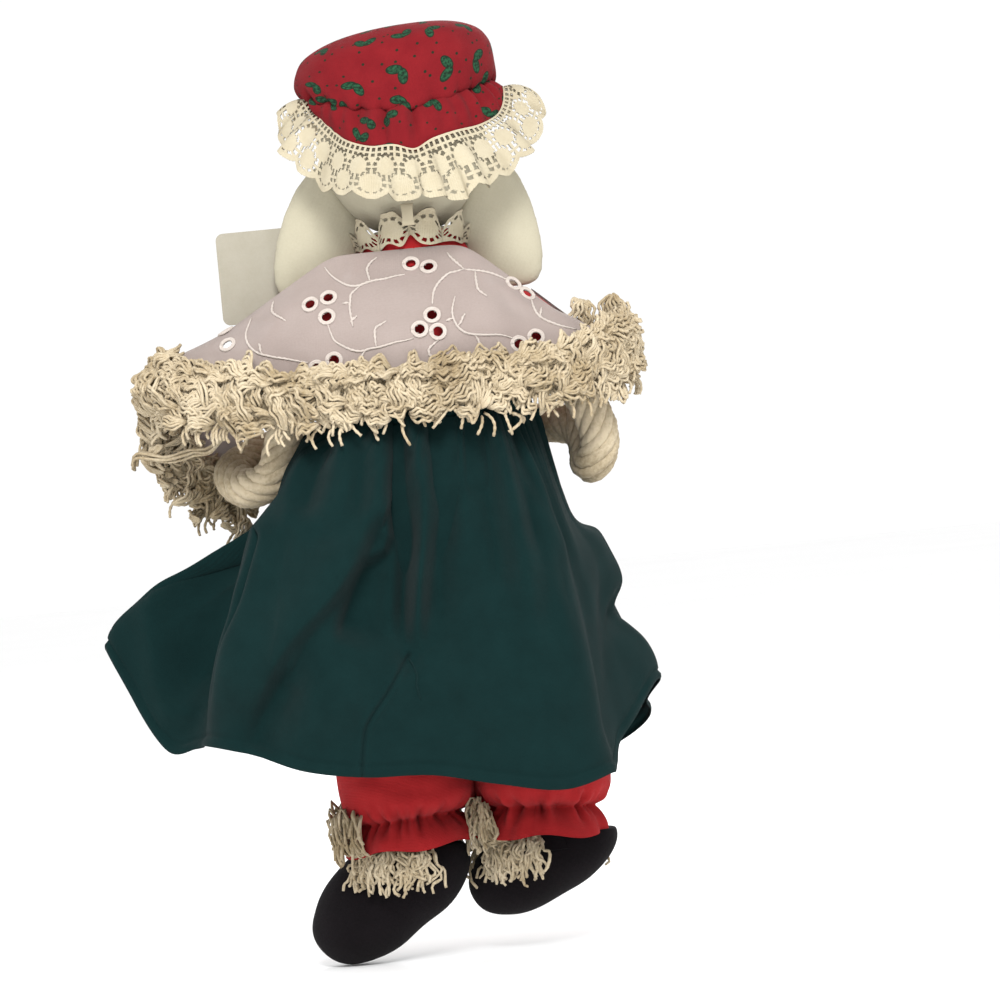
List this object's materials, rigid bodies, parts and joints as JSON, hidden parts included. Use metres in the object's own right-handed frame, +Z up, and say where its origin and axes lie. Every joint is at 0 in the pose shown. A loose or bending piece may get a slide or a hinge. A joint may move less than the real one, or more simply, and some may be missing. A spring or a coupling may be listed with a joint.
{
  "type": "bunny shelf sitter doll",
  "caption": "Stuffed cloth bunny that sits on a shelf edge, with long hanging ears, gathered mob cap, rope arms, fringed stole, full skirt, bloomers and soft boots.",
  "frame": {"origin": "on the flat seat face under the torso, on the doll's centre line", "axes": "+Z up from the seat to the cap, -Y the way the doll faces, +X the doll's own left"},
  "size_m": [0.2313, 0.1352, 0.3766],
  "materials": {
    "muslin": "matt unbleached cotton",
    "red_print": "matt printed cotton, crimson with a small green motif",
    "red_cloth": "matt plain crimson cotton",
    "green_cloth": "matt dark green cotton",
    "lace": "cream cotton lace",
    "eyelet_cloth": "thin white eyelet embroidery",
    "yarn": "cream looped cotton yarn",
    "cotton_rope": "twisted natural cotton rope",
    "binding_thread": "wound cotton thread",
    "black_cloth": "matt black cotton",
    "card": "uncoated pale card",
    "elastic": "covered elastic cord",
    "bead": "polished black",
    "floss": "stitched cotton floss"
  },
  "bodies": {
    "torso": {"torso": "muslin", "pellet_bag": "muslin", "seat_card": "card", "bodice": "red_print", "waistband": "green_cloth", "bloomer_seat": "red_cloth", "skirt": "green_cloth", "collar_lace": "lace", "collar_tie": "lace", "stole": "eyelet_cloth", "stole_fringe": "yarn"},
    "head": {"head": "muslin", "nose": "floss", "eye_left": "bead", "eye_right": "bead", "cap_crown": "red_print", "cap_elastic": "elastic", "cap_brim": "red_print", "cap_lace": "lace"},
    "ear_left": {"ear_left": "muslin", "swing_tag": "card"},
    "ear_right": {"ear_right": "muslin"},
    "arm_left": {"arm_left": "cotton_rope", "hand_binding_left": "binding_thread", "hand_left": "cotton_rope"},
    "arm_right": {"arm_right": "cotton_rope", "hand_binding_right": "binding_thread", "hand_right": "cotton_rope"},
    "leg_left": {"leg_left": "muslin", "bloomer_left": "red_cloth", "bloomer_elastic_left": "elastic", "boot_left": "black_cloth", "boot_cuff_left": "yarn"},
    "leg_right": {"leg_right": "muslin", "bloomer_right": "red_cloth", "bloomer_elastic_right": "elastic", "boot_right": "black_cloth", "boot_cuff_right": "yarn"}
  },
  "joints": [
    {"name": "head_turn", "type": "hinge", "parent": "torso", "child": "head", "pos_m": [0, -0.002, 0.133], "axis": [0, 0, 1], "range_deg": [-12, 12]},
    {"name": "ear_left_lift", "type": "hinge", "parent": "head", "child": "ear_left", "pos_m": [0.0335, -0.002, 0.161], "axis": [0, -1, 0], "range_deg": [0, 25]},
    {"name": "ear_right_lift", "type": "hinge", "parent": "head", "child": "ear_right", "pos_m": [-0.0335, -0.002, 0.161], "axis": [0, 1, 0], "range_deg": [0, 25]},
    {"name": "shoulder_left", "type": "hinge", "parent": "torso", "child": "arm_left", "pos_m": [0.044, 0.002, 0.088], "axis": [-1, 0, 0], "range_deg": [-8, 45], "deforming": ["stole", "stole_fringe"]},
    {"name": "shoulder_right", "type": "hinge", "parent": "torso", "child": "arm_right", "pos_m": [-0.044, 0.002, 0.088], "axis": [-1, 0, 0], "range_deg": [-8, 45]},
    {"name": "hip_left", "type": "hinge", "parent": "torso", "child": "leg_left", "pos_m": [0.023, -0.021, -0.009], "axis": [-1, 0, 0], "range_deg": [0, 80], "deforming": ["skirt"]},
    {"name": "hip_right", "type": "hinge", "parent": "torso", "child": "leg_right", "pos_m": [-0.031, -0.021, -0.009], "axis": [-1, 0, 0], "range_deg": [0, 80]}
  ],
  "couplings": [
    {"joint": "hip_right", "follows": "hip_left", "ratio": 1}
  ]
}
